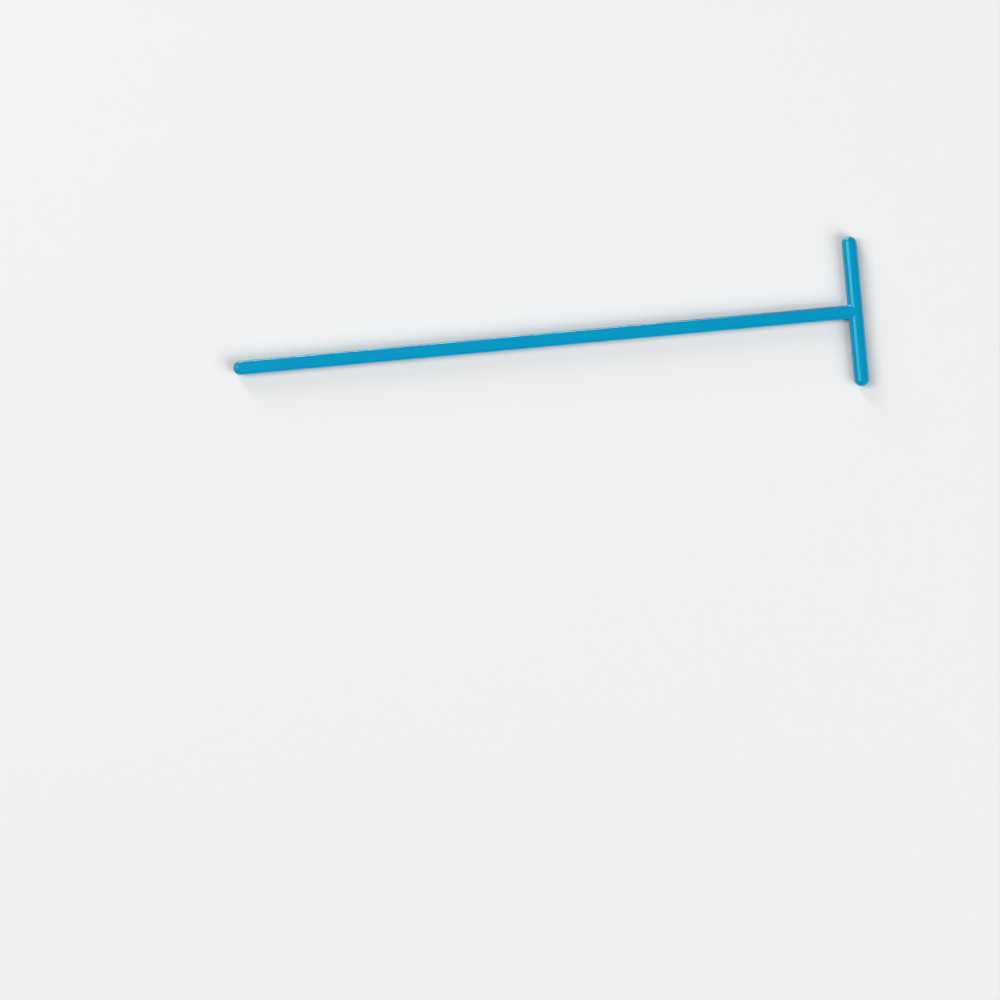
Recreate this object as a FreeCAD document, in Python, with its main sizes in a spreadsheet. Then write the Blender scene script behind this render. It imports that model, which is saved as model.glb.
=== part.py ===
"""T-shaped cell spreader, moulded in one piece, lying flat on its underside.

Millimetres, +Z up. The handle runs along X, with its free end at -X and the round spreading bar
across its other end. The origin is on the surface that the spreader lies on, under the middle
of its length.
"""
import FreeCAD, Part
import math
import os

from FreeCAD import Vector
import Sketcher

TINY = 1e-4

DIMENSIONS = {
    "overall_length": 150.0,      # free end of the handle to the far side of the bar
    "bar_length": 35.6,
    "bar_diameter": 3.6,
    "bar_end_radius": 1.65,       # rounding of the bar's ends, a little under its own radius
    "handle_width": 3.24,
    "handle_height": 3.58,        # flush with the bar, but for a hundredth of a millimetre a side
    "handle_edge_radius": 0.65,
    "tip_radius": 1.5,            # rounding of the handle's free end, seen from above
    "root_radius": 0.25,          # inside corners, where the handle meets the bar
}

HANDLE_REACH = "Dimensions.overall_length - Dimensions.bar_diameter / 2"
BAR_AXIS_X = "(Dimensions.overall_length - Dimensions.bar_diameter) / 2"


def add_dimensions(doc):
    """Put the driving dimensions in a spreadsheet, one alias to a row."""
    sheet = doc.addObject("Spreadsheet::Sheet", "Dimensions")
    for row, (alias, value) in enumerate(DIMENSIONS.items(), start=1):
        sheet.set(f"A{row}", alias)
        sheet.set(f"B{row}", str(value))
        sheet.setAlias(f"B{row}", alias)
    doc.recompute()


def add_sketch(body, name):
    """Return an empty sketch at mid height, with its origin on the bar's axis."""
    sketch = body.newObject("Sketcher::SketchObject", name)
    plane = next(item for item in body.Origin.OriginFeatures if item.Role == "XY_Plane")
    sketch.AttachmentSupport = (plane, [""])
    sketch.MapMode = "FlatFace"
    sketch.setExpression("AttachmentOffset.Base.x", BAR_AXIS_X)
    return sketch


def draw_outline(sketch, side, reach, width, radius):
    """Draw a plate from the sketch's Y axis out to reach, with its two outer corners rounded.

    side is 1 towards +X and -1 towards -X; the other three are expressions on the sheet.
    """
    end_x = side * float(sketch.evalExpression(reach))
    half_width = float(sketch.evalExpression(width)) / 2
    rounding = float(sketch.evalExpression(radius))
    arc_x = end_x - side * rounding
    arc_y = half_width - rounding

    def line(start_x, start_y, stop_x, stop_y):
        segment = Part.LineSegment(Vector(start_x, start_y, 0), Vector(stop_x, stop_y, 0))
        return sketch.addGeometry(segment)

    def corner(centre_y, start_degrees):
        circle = Part.Circle(Vector(arc_x, centre_y, 0), Vector(0, 0, 1), rounding)
        start = math.radians(start_degrees)
        return sketch.addGeometry(Part.ArcOfCircle(circle, start, start + math.pi / 2))

    lower = line(0, -half_width, arc_x, -half_width)
    lower_corner = corner(-arc_y, -90 if side > 0 else 180)
    end = line(end_x, -arc_y, end_x, arc_y)
    upper_corner = corner(arc_y, 0 if side > 0 else 90)
    upper = line(arc_x, half_width, 0, half_width)
    root = line(0, half_width, 0, -half_width)

    rule = Sketcher.Constraint
    first, last = (1, 2) if side > 0 else (2, 1)
    sketch.addConstraint([
        rule("Tangent", lower, 2, lower_corner, first),
        rule("Tangent", lower_corner, last, end, 1),
        rule("Tangent", end, 2, upper_corner, first),
        rule("Tangent", upper_corner, last, upper, 1),
        rule("Coincident", upper, 2, root, 1),
        rule("Coincident", root, 2, lower, 1),
        rule("Horizontal", lower),
        rule("Horizontal", upper),
        rule("Equal", lower_corner, upper_corner),
        rule("PointOnObject", root, 1, -2),
        rule("Symmetric", root, 1, root, 2, -1),
    ])

    def bind(name, expression, *geometry):
        index = sketch.addConstraint(rule(*geometry, float(sketch.evalExpression(expression))))
        sketch.renameConstraint(index, name)
        sketch.setExpression(f"Constraints.{name}", expression)

    outwards = (-1, 1, end, 1) if side > 0 else (end, 1, -1, 1)
    bind("Reach", reach, "DistanceX", *outwards)
    bind("Width", width, "DistanceY", root, 2, root, 1)
    bind("Rounding", radius, "Radius", lower_corner)


def add_handle(body):
    """Add the handle: a bar of flat sides, equally high above and below the sketch."""
    sketch = add_sketch(body, "HandleOutline")
    draw_outline(sketch, -1, HANDLE_REACH, "Dimensions.handle_width", "Dimensions.tip_radius")
    handle = body.newObject("PartDesign::Pad", "Handle")
    handle.Profile = sketch
    handle.SideType = "Symmetric"
    handle.setExpression("Length", "Dimensions.handle_height")
    return handle


def add_spreading_bar(body):
    """Add the round bar, turned about the sketch's Y axis, with its blunt domed ends."""
    sketch = add_sketch(body, "BarProfile")
    draw_outline(sketch, 1, "Dimensions.bar_diameter / 2", "Dimensions.bar_length",
                 "Dimensions.bar_end_radius")
    bar = body.newObject("PartDesign::Revolution", "SpreadingBar")
    bar.Profile = sketch
    bar.ReferenceAxis = (sketch, ["V_Axis"])
    bar.Angle = 360
    return bar


def add_fillet(body, name, feature, wanted, radius):
    """Round the edges of feature whose bounding box passes the test wanted."""
    edges = enumerate(feature.Shape.Edges, start=1)
    names = [f"Edge{number}" for number, edge in edges if wanted(edge.BoundBox)]
    fillet = body.newObject("PartDesign::Fillet", name)
    fillet.Base = (feature, names)
    fillet.setExpression("Radius", radius)
    return fillet


def build_spreader(doc):
    """Build the one moulded piece and lay its bar on the surface Z = 0."""
    body = doc.addObject("PartDesign::Body", "Spreader")
    body.Label = "cell_spreader"
    body.setExpression("Placement.Base.z", "Dimensions.bar_diameter / 2")

    bar_x = float(body.evalExpression(BAR_AXIS_X))
    bar_radius = DIMENSIONS["bar_diameter"] / 2
    half_width = DIMENSIONS["handle_width"] / 2

    def runs_round_handle(box):
        return box.ZLength < TINY and box.XMin < bar_x - TINY

    def joins_handle_to_bar(box):
        beside_bar = box.XMin > bar_x - bar_radius - TINY
        return beside_bar and max(-box.YMin, box.YMax) < half_width + TINY

    handle = add_handle(body)
    doc.recompute()
    rounded_handle = add_fillet(body, "HandleEdges", handle, runs_round_handle,
                                "Dimensions.handle_edge_radius")
    doc.recompute()
    bar = add_spreading_bar(body)
    doc.recompute()
    add_fillet(body, "RootFillet", bar, joins_handle_to_bar, "Dimensions.root_radius")
    doc.recompute()
    return body


def check(doc, body):
    """Stop if any object failed to build, or the piece isn't one sound solid."""
    failed = [item.Name for item in doc.Objects if {"Invalid", "Error"} & set(item.State)]
    if failed:
        raise RuntimeError(f"not built: {failed}")
    shape = body.Shape
    if shape.isNull() or not shape.isValid() or len(shape.Solids) != 1:
        raise RuntimeError(f"{body.Label} is not one valid solid")


def main():
    doc = FreeCAD.newDocument("CellSpreader")
    add_dimensions(doc)
    spreader = build_spreader(doc)
    check(doc, spreader)
    os.makedirs("parts", exist_ok=True)
    spreader.Shape.exportStep(f"parts/{spreader.Label}.step")
    print(f"{spreader.Label}: {spreader.Shape.Volume:.1f} mm3")


main()
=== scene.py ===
"""A cell spreader, moulded in one piece from glossy blue plastic, lying flat on a pale floor.

The handle is a nearly square rod with rounded edges, which runs along X. The round spreading bar
crosses its end along Y. Both are one moulding, so they are modelled as one closed skin.
"""

import math

import bmesh
import bpy
import numpy as np
from mathutils import Matrix, Vector


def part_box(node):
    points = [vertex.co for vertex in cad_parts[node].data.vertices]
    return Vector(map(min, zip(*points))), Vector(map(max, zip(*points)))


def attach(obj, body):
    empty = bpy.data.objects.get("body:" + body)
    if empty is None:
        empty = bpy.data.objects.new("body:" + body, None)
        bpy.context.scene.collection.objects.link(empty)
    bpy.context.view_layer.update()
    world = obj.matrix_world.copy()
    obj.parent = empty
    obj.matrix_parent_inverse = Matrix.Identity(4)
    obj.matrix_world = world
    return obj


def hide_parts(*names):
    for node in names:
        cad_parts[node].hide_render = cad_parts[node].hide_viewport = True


MM = 0.001

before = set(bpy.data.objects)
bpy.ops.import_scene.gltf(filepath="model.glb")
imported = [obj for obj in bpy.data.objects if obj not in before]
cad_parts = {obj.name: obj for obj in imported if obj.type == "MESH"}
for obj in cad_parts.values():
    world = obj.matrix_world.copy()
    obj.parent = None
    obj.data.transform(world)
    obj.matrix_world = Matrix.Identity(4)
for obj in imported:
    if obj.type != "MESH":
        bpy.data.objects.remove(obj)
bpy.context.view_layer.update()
low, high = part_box("cell_spreader")

# The moulding's sizes, in metres. The CAD body gives its reach, the rest is its profile.
BAR_RADIUS = (low.z + high.z) / 2
BAR_X = high.x - BAR_RADIUS
BAR_HALF_LENGTH = high.y
BAR_EDGE_RADIUS = 1.3 * MM
HANDLE_TIP_X = low.x
HANDLE_HALF_WIDTH = 1.62 * MM
HANDLE_EDGE_RADIUS = 0.65 * MM
TIP_PLAN_RADIUS = 1.55 * MM
TIP_EDGE_RADIUS = 1.15 * MM
ROOT_EDGE_RADIUS = 1.0 * MM
ROOT_FILLET_RADIUS = 0.25 * MM
PARTING_HEIGHT = 0.025 * MM
PARTING_HALF_WIDTH = 0.05 * MM

# The handle's edge widens between these distances from the tip, and from the middle of the bar.
TIP_EDGE_START = 2.4 * MM
TIP_EDGE_FULL = 0.9 * MM
ROOT_EDGE_START = 45 * MM
ROOT_EDGE_FULL = BAR_RADIUS

# How finely the skin is cut. The rounded ends have half as many rings as a section has cells.
SECTION_CELLS = 36
HANDLE_RINGS = 84
BAR_RINGS = 30
END_RINGS = SECTION_CELLS // 2

# How the skin is settled onto the form, and its cells evened out near the joint and the ends.
FIRST_STEPS = 12
RELAXING_STEPS = 3
LAST_STEPS = 6
RELAXING_ROUNDS = 24
RELAXING_SHARE = 0.5
JOINT_REACH = 3 * MM
FORM_STEP = 0.0001 * MM
SLACK = 0.001 * MM
LEAST_STEEPNESS = 0.1
LEAST_FACING = 0.99
TINY_AREA = 1e-15


# ---------------------------------------------------------------------------------------------
# The moulding's true form, as distances to its surface that are negative inside
# ---------------------------------------------------------------------------------------------

def rounded_corner(first, second, radius):
    """Distance to a solid that lies inside two others, with the edge between them rounded."""
    over = np.hypot(np.maximum(first + radius, 0), np.maximum(second + radius, 0))
    return over + np.minimum(np.maximum(first, second), -radius)


def filleted_join(first, second, radius):
    """Distance to two solids joined, with a fillet in the angle between them."""
    under = np.hypot(np.maximum(radius - first, 0), np.maximum(radius - second, 0))
    return np.maximum(np.minimum(first, second), radius) - under


def eased_between(value, start, full):
    """Rises gently from 0 where a value is at its start to 1 where it is full."""
    part = np.clip((value - start) / (full - start), 0, 1)
    return part * part * (3 - 2 * part)


def handle_distance(x, y, z):
    """The handle: its outline from above, and an edge that widens round the tip and towards the root."""
    past_tip = HANDLE_TIP_X - x
    past_root = x - BAR_X
    outline = rounded_corner(np.abs(y) - HANDLE_HALF_WIDTH, past_tip, TIP_PLAN_RADIUS)
    face = np.abs(z - BAR_RADIUS) - BAR_RADIUS
    at_tip = eased_between(past_tip, -TIP_EDGE_START, -TIP_EDGE_FULL)
    at_root = eased_between(past_root, -ROOT_EDGE_START, -ROOT_EDGE_FULL)
    wider_at_tip = (TIP_EDGE_RADIUS - HANDLE_EDGE_RADIUS) * at_tip
    wider_at_root = (ROOT_EDGE_RADIUS - HANDLE_EDGE_RADIUS) * at_root
    edge = HANDLE_EDGE_RADIUS + (wider_at_tip + wider_at_root)
    return np.maximum(rounded_corner(outline, face, edge), past_root)


def bar_distance(x, y, z):
    """The spreading bar: a rod whose ends are half round from above, with their edge rounded off."""
    aside = x - BAR_X
    section = np.hypot(aside, z - BAR_RADIUS)
    plan = np.hypot(aside, np.maximum(np.abs(y) - BAR_HALF_LENGTH + BAR_RADIUS, 0))
    # The wall round an end runs out into the flanks of the rod, so the edge dies away there.
    meeting = aside ** 2 / np.maximum(section * plan, TINY_AREA)
    edge = BAR_EDGE_RADIUS * (1 - meeting)
    return rounded_corner(section - BAR_RADIUS, plan - BAR_RADIUS, edge)


def moulding_distance(x, y, z):
    """Handle and bar as one moulding, with a small fillet at the root of the handle."""
    # The handle's flat top runs out into the top of the bar, so the fillet dies away there.
    fillet = ROOT_FILLET_RADIUS * np.maximum(1 - ((z - BAR_RADIUS) / BAR_RADIUS) ** 2, 0)
    return filleted_join(handle_distance(x, y, z), bar_distance(x, y, z), fillet)


def parted_distance(x, y, z):
    """The moulding with the faint raised line where the two halves of the mould met."""
    off_line = (z - BAR_RADIUS) / PARTING_HALF_WIDTH
    return moulding_distance(x, y, z) - PARTING_HEIGHT * np.maximum(1 - off_line ** 2, 0)


def settle(verts, distance, steps):
    """Moves vertices straight onto the surface of a form, by Newton's method."""
    points = np.array([vertex.co for vertex in verts], dtype=float)
    for _ in range(steps):
        here = distance(*points.T)
        beside = [distance(*(points + step).T) for step in FORM_STEP * np.eye(3)]
        slope = (np.stack(beside, axis=1) - here[:, None]) / FORM_STEP
        steepness = np.maximum((slope ** 2).sum(axis=1), LEAST_STEEPNESS)
        points -= slope * (here / steepness)[:, None]
    for vertex, point in zip(verts, points):
        vertex.co = point


# ---------------------------------------------------------------------------------------------
# The skin
# ---------------------------------------------------------------------------------------------

def facing(bm, direction):
    """The faces of a block that look along a direction."""
    return [face for face in bm.faces if face.normal.dot(direction) > LEAST_FACING]


def only(kind, parts):
    """The parts of one kind, such as vertices, among those that an operator gives back."""
    return [part for part in parts if isinstance(part, kind)]


def ease_rings(verts, direction, start, run):
    """Moves evenly spaced rings closer together at both ends of a run and wider apart in its middle."""
    for vertex in verts:
        along = vertex.co.dot(direction) - start
        eased_along = run * (1 - math.cos(math.pi * along / run)) / 2
        vertex.co += direction * (eased_along - along)


def draw_out(bm, side, direction, run, rings, eased):
    """Draws a side of the block out along a direction, in rings, and gives the faces of its new end."""
    start = side[0].verts[0].co.dot(direction)
    drawn = bmesh.ops.extrude_face_region(bm, geom=side)["geom"]
    bmesh.ops.delete(bm, geom=side, context="FACES")
    end_faces = only(bmesh.types.BMFace, drawn)
    end_verts = only(bmesh.types.BMVert, drawn)
    bmesh.ops.translate(bm, verts=end_verts, vec=direction * run)
    moved = set(end_verts)
    long_edges = [
        edge
        for vertex in end_verts
        for edge in vertex.link_edges
        if edge.other_vert(vertex) not in moved
    ]
    cut = bmesh.ops.subdivide_edges(bm, edges=long_edges, cuts=rings - 1, use_grid_fill=True)
    if eased:
        ease_rings(only(bmesh.types.BMVert, cut["geom_inner"]), direction, start, run)
    return end_faces


def draw_arm(bm, side, direction, run, rings, end_run):
    """One arm of the T: a straight run, then closer rings where its end is rounded."""
    shoulder = draw_out(bm, side, direction, run, rings, eased=True)
    draw_out(bm, shoulder, direction, end_run, END_RINGS, eased=False)


def near_joint_or_end(place):
    """Whether a point is where the skin's cells need evening out."""
    near_joint = abs(place.y) < JOINT_REACH and place.x > BAR_X - JOINT_REACH
    bar_end = abs(place.y) > BAR_HALF_LENGTH - BAR_RADIUS
    return near_joint or bar_end or place.x < HANDLE_TIP_X + TIP_PLAN_RADIUS


def fit_to_form(bm):
    """Settles each arm on its own form, evens the cells out on the whole, and adds the parting line."""
    handle = [vertex for vertex in bm.verts if vertex.co.x < BAR_X - BAR_RADIUS - SLACK]
    bar = [vertex for vertex in bm.verts if abs(vertex.co.y) > HANDLE_HALF_WIDTH + SLACK]
    settle(handle, handle_distance, FIRST_STEPS)
    settle(bar, bar_distance, FIRST_STEPS)
    settle(bm.verts[:], moulding_distance, FIRST_STEPS)
    uneven = [vertex for vertex in bm.verts if near_joint_or_end(vertex.co)]
    for _ in range(RELAXING_ROUNDS):
        bmesh.ops.smooth_vert(
            bm, verts=uneven, factor=RELAXING_SHARE, use_axis_x=True, use_axis_y=True, use_axis_z=True
        )
        settle(uneven, moulding_distance, RELAXING_STEPS)
    for level in (-1, 1):
        height = BAR_RADIUS + level * PARTING_HALF_WIDTH
        everything = bm.verts[:] + bm.edges[:] + bm.faces[:]
        bmesh.ops.bisect_plane(bm, geom=everything, plane_co=(0, 0, height), plane_no=(0, 0, 1))
    settle(bm.verts[:], parted_distance, LAST_STEPS)


def make_spreader():
    """The whole moulding: a block at the joint, drawn out three ways and settled onto its form."""
    bm = bmesh.new()
    half_size = Matrix.Diagonal((BAR_RADIUS, HANDLE_HALF_WIDTH, BAR_RADIUS, 1))
    bmesh.ops.create_cube(bm, size=2, matrix=Matrix.Translation((BAR_X, 0, BAR_RADIUS)) @ half_size)
    bmesh.ops.subdivide_edges(bm, edges=bm.edges[:], cuts=SECTION_CELLS - 1, use_grid_fill=True)
    bm.normal_update()

    handle_run = BAR_X - BAR_RADIUS - HANDLE_TIP_X - TIP_PLAN_RADIUS
    bar_run = BAR_HALF_LENGTH - HANDLE_HALF_WIDTH - BAR_RADIUS
    arms = [
        (Vector((-1, 0, 0)), handle_run, HANDLE_RINGS, TIP_PLAN_RADIUS),
        (Vector((0, -1, 0)), bar_run, BAR_RINGS, BAR_RADIUS),
        (Vector((0, 1, 0)), bar_run, BAR_RINGS, BAR_RADIUS),
    ]
    sides = [facing(bm, direction) for direction, *_ in arms]
    for side, arm in zip(sides, arms):
        draw_arm(bm, side, *arm)

    fit_to_form(bm)
    bmesh.ops.recalc_face_normals(bm, faces=bm.faces[:])
    for face in bm.faces:
        face.smooth = True
    return add_object("spreader", bm)


def add_object(name, bm):
    """Turns a finished bmesh into an object in the scene."""
    mesh = bpy.data.meshes.new(name)
    bm.to_mesh(mesh)
    bm.free()
    made = bpy.data.objects.new(name, mesh)
    bpy.context.scene.collection.objects.link(made)
    return made


# ---------------------------------------------------------------------------------------------
# Materials
# ---------------------------------------------------------------------------------------------

# The plastic's two blues, and the tint that it gives to what it mirrors.
DEEP_BLUE = (0.001, 0.295, 0.565)
GREEN_BLUE = (0.003, 0.34, 0.56)
MIRROR_TINT = (0.15, 0.85, 1, 1)
PLASTIC_IOR = 1.58

# Where the blues change over: broad patches, and flow marks drawn out along the handle.
PATCH_SIZE = 9 * MM
FLOW_MARK_SIZE = 1.1 * MM
FLOW_MARK_SQUEEZE = (0.12, 1, 1)
COLOUR_DETAIL = 3.0
PATCH_SHARE = 0.6

# The gloss and its patches, and the orange peel.
LEAST_ROUGHNESS = 0.16
ROUGHNESS_RANGE = 0.06
GLOSS_PATCH_SIZE = 3 * MM
PEEL_SIZE = 0.6 * MM
PEEL_HEIGHT = 0.02 * MM
PEEL_STRENGTH = 0.35
SURFACE_DETAIL = 2.0

# The floor's grey as it is seen, and as it throws light back up.
FLOOR_SEEN = (0.87, 0.87, 0.87)
FLOOR_LIT = (0.42, 0.42, 0.42)

# The Mix node's colour sockets share their names with others, so they go by number.
MIX_FIRST_COLOUR = 6
MIX_SECOND_COLOUR = 7
MIX_COLOUR_RESULT = 2


class Value:
    """A number that varies over a surface. Python arithmetic on it adds Math nodes."""

    def __init__(self, tree, socket):
        self.tree = tree
        self.socket = socket

    def _combined(self, operation, first, second):
        node = self.tree.nodes.new("ShaderNodeMath")
        node.operation = operation
        for slot, term in zip(node.inputs, (first, second)):
            if isinstance(term, Value):
                self.tree.links.new(term.socket, slot)
            else:
                slot.default_value = term
        return Value(self.tree, node.outputs[0])

    def __add__(self, other):
        return self._combined("ADD", self, other)

    def __radd__(self, other):
        return self._combined("ADD", other, self)

    def __mul__(self, other):
        return self._combined("MULTIPLY", self, other)

    def __rmul__(self, other):
        return self._combined("MULTIPLY", other, self)


class Finish:
    """The nodes of a material, or of the world, under construction."""

    def __init__(self, owner):
        self.owner = owner
        owner.use_nodes = True
        self.tree = owner.node_tree
        self.tree.nodes.clear()

    def node(self, kind, settings=None, sockets=None):
        """Adds one node: its settings first, then the values or links of its sockets."""
        node = self.tree.nodes.new("ShaderNode" + kind)
        for name, setting in (settings or {}).items():
            setattr(node, name, setting)
        for key, value in (sockets or {}).items():
            source = value.socket if isinstance(value, Value) else value
            if isinstance(source, bpy.types.NodeSocket):
                self.tree.links.new(source, node.inputs[key])
            else:
                node.inputs[key].default_value = source
        return node

    def value(self, node, output):
        """A node's output, ready for arithmetic."""
        return Value(self.tree, node.outputs[output])

    def noise(self, place, size, detail):
        """Soft noise from 0 to 1 with patches about `size` metres across."""
        texture = self.node("TexNoise", sockets={"Vector": place, "Scale": 1 / size, "Detail": detail})
        return self.value(texture, "Fac")

    def blend(self, factor, first, second):
        """A colour between two, by a factor that varies."""
        colours = {MIX_FIRST_COLOUR: (*first, 1), MIX_SECOND_COLOUR: (*second, 1)}
        mix = self.node("Mix", {"data_type": "RGBA"}, {"Factor": factor, **colours})
        return mix.outputs[MIX_COLOUR_RESULT]

    def finished(self, output, shader):
        """Joins a shader to an output node and gives back the finished material or world."""
        self.node(output, sockets={"Surface": shader.outputs[0]})
        return self.owner


def blue_plastic():
    """Glossy opaque blue plastic: faint flow marks, soft orange peel and a slightly uneven gloss."""
    finish = Finish(bpy.data.materials.new("blue_plastic"))
    place = finish.node("TexCoord").outputs["Object"]
    patches = finish.noise(place, PATCH_SIZE, COLOUR_DETAIL)
    squeezed = finish.node("Mapping", sockets={"Vector": place, "Scale": FLOW_MARK_SQUEEZE})
    flow = finish.noise(squeezed.outputs[0], FLOW_MARK_SIZE, COLOUR_DETAIL)
    change = PATCH_SHARE * patches + (1 - PATCH_SHARE) * flow
    gloss = LEAST_ROUGHNESS + ROUGHNESS_RANGE * finish.noise(place, GLOSS_PATCH_SIZE, SURFACE_DETAIL)
    peel = finish.noise(place, PEEL_SIZE, SURFACE_DETAIL)
    bump = finish.node(
        "Bump",
        sockets={"Height": peel, "Strength": PEEL_STRENGTH, "Distance": PEEL_HEIGHT},
    )
    plastic = finish.node(
        "BsdfPrincipled",
        sockets={
            "Base Color": finish.blend(change, DEEP_BLUE, GREEN_BLUE),
            "Roughness": gloss,
            "IOR": PLASTIC_IOR,
            "Specular Tint": MIRROR_TINT,
            "Normal": bump.outputs[0],
        },
    )
    return finish.finished("OutputMaterial", plastic)


def pale_floor():
    """Matt pale floor that throws less light back up than it shows, so that edges keep their depth."""
    finish = Finish(bpy.data.materials.new("pale_floor"))
    path = finish.node("LightPath")
    seen = finish.value(path, "Is Camera Ray") + finish.value(path, "Is Glossy Ray")
    seen = seen + finish.value(path, "Is Transmission Ray")
    matt = finish.node(
        "BsdfPrincipled",
        sockets={
            "Base Color": finish.blend(seen, FLOOR_LIT, FLOOR_SEEN),
            "Roughness": 1.0,
            "Specular IOR Level": 0.0,
        },
    )
    return finish.finished("OutputMaterial", matt)


# ---------------------------------------------------------------------------------------------
# Camera, floor and lights
# ---------------------------------------------------------------------------------------------

# How wide the view is, where the spreader's middle lies from the view's, and the handle's slope.
VIEW_WIDTH = 237.3 * MM
SPREADER_PLACE = Vector((11.44, 38.06, 0)) * MM
HANDLE_SLOPE = math.radians(5.25)
SENSOR_WIDTH = 36
LENS_LENGTH = 200

FLOOR_HALF_WIDTH = 8

# How far off a panel usually stands, and the power that makes a square metre of it look white.
PANEL_DISTANCE = 1.6
POWER_OF_WHITE = 4


def add_camera():
    """Looks straight down, with the spreader right of and above the middle, its handle rising."""
    data = bpy.data.cameras.new("camera")
    data.sensor_width = SENSOR_WIDTH
    data.lens = LENS_LENGTH
    camera = bpy.data.objects.new("camera", data)
    middle = Vector((0, 0, BAR_RADIUS)) - Matrix.Rotation(-HANDLE_SLOPE, 3, "Z") @ SPREADER_PLACE
    distance = VIEW_WIDTH * LENS_LENGTH / SENSOR_WIDTH
    camera.location = middle + Vector((0, 0, distance))
    camera.rotation_euler = (0, 0, -HANDLE_SLOPE)
    bpy.context.scene.collection.objects.link(camera)
    bpy.context.scene.camera = camera


def add_floor():
    """A wide flat floor under the spreader."""
    bm = bmesh.new()
    bmesh.ops.create_grid(bm, x_segments=1, y_segments=1, size=FLOOR_HALF_WIDTH)
    floor = add_object("floor", bm)
    floor.data.materials.append(pale_floor())


def add_panel(
    name, heading, tilt, width, height, radiance,
    slide=0, distance=PANEL_DISTANCE, colour=True, glints=True,
):
    """A soft panel lamp, `heading` degrees round from +X and `tilt` degrees down from overhead.

    It faces the spreader square on, and is then slid sideways along its width. One that gives no
    glints isn't mirrored in the gloss, and one that gives no colour is only mirrored.
    """
    data = bpy.data.lights.new(name, "AREA")
    data.shape = "RECTANGLE"
    data.size = width
    data.size_y = height
    data.energy = POWER_OF_WHITE * radiance * width * height
    lamp = bpy.data.objects.new(name, data)
    heading_turn = Matrix.Rotation(math.radians(heading), 4, "Z")
    tilt_turn = Matrix.Rotation(math.radians(tilt), 4, "Y")
    width_turn = Matrix.Rotation(math.pi / 2, 4, "Z")
    place = Matrix.Translation((0, slide, distance))
    lamp.matrix_world = heading_turn @ tilt_turn @ place @ width_turn
    lamp.visible_camera = False
    lamp.visible_diffuse = colour
    lamp.visible_glossy = glints
    bpy.context.scene.collection.objects.link(lamp)


def add_world(fill, backdrop):
    """An even white fill light, which the camera sees as a pale backdrop."""
    finish = Finish(bpy.data.worlds.new("world"))
    seen = finish.value(finish.node("LightPath"), "Is Camera Ray")
    strength = fill + (backdrop - fill) * seen
    background = finish.node("Background", sockets={"Color": (1, 1, 1, 1), "Strength": strength})
    bpy.context.scene.world = finish.finished("OutputWorld", background)


def set_light():
    """A soft panel over the left, a low near strip beyond that is only mirrored, and two plain fills."""
    add_panel("left_panel", heading=180, tilt=33, slide=-0.25, width=0.54, height=1.2, radiance=5.0)
    add_panel("corner_fill", heading=120, tilt=66, width=0.5, height=0.8, radiance=5.0, glints=False)
    add_panel(
        "far_strip", heading=90, tilt=83.2, slide=0.0975, distance=0.378,
        width=0.305, height=0.09, radiance=24.0, colour=False,
    )
    add_panel("near_fill", heading=-35, tilt=45, width=1.2, height=1.2, radiance=2.8, glints=False)
    add_world(fill=0.13, backdrop=0.85)


# ---------------------------------------------------------------------------------------------
# The scene
# ---------------------------------------------------------------------------------------------

bpy.context.scene.view_settings.view_transform = "Standard"
add_camera()
add_floor()
set_light()

spreader = make_spreader()
spreader.data.materials.append(blue_plastic())
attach(spreader, "root")
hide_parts("cell_spreader")
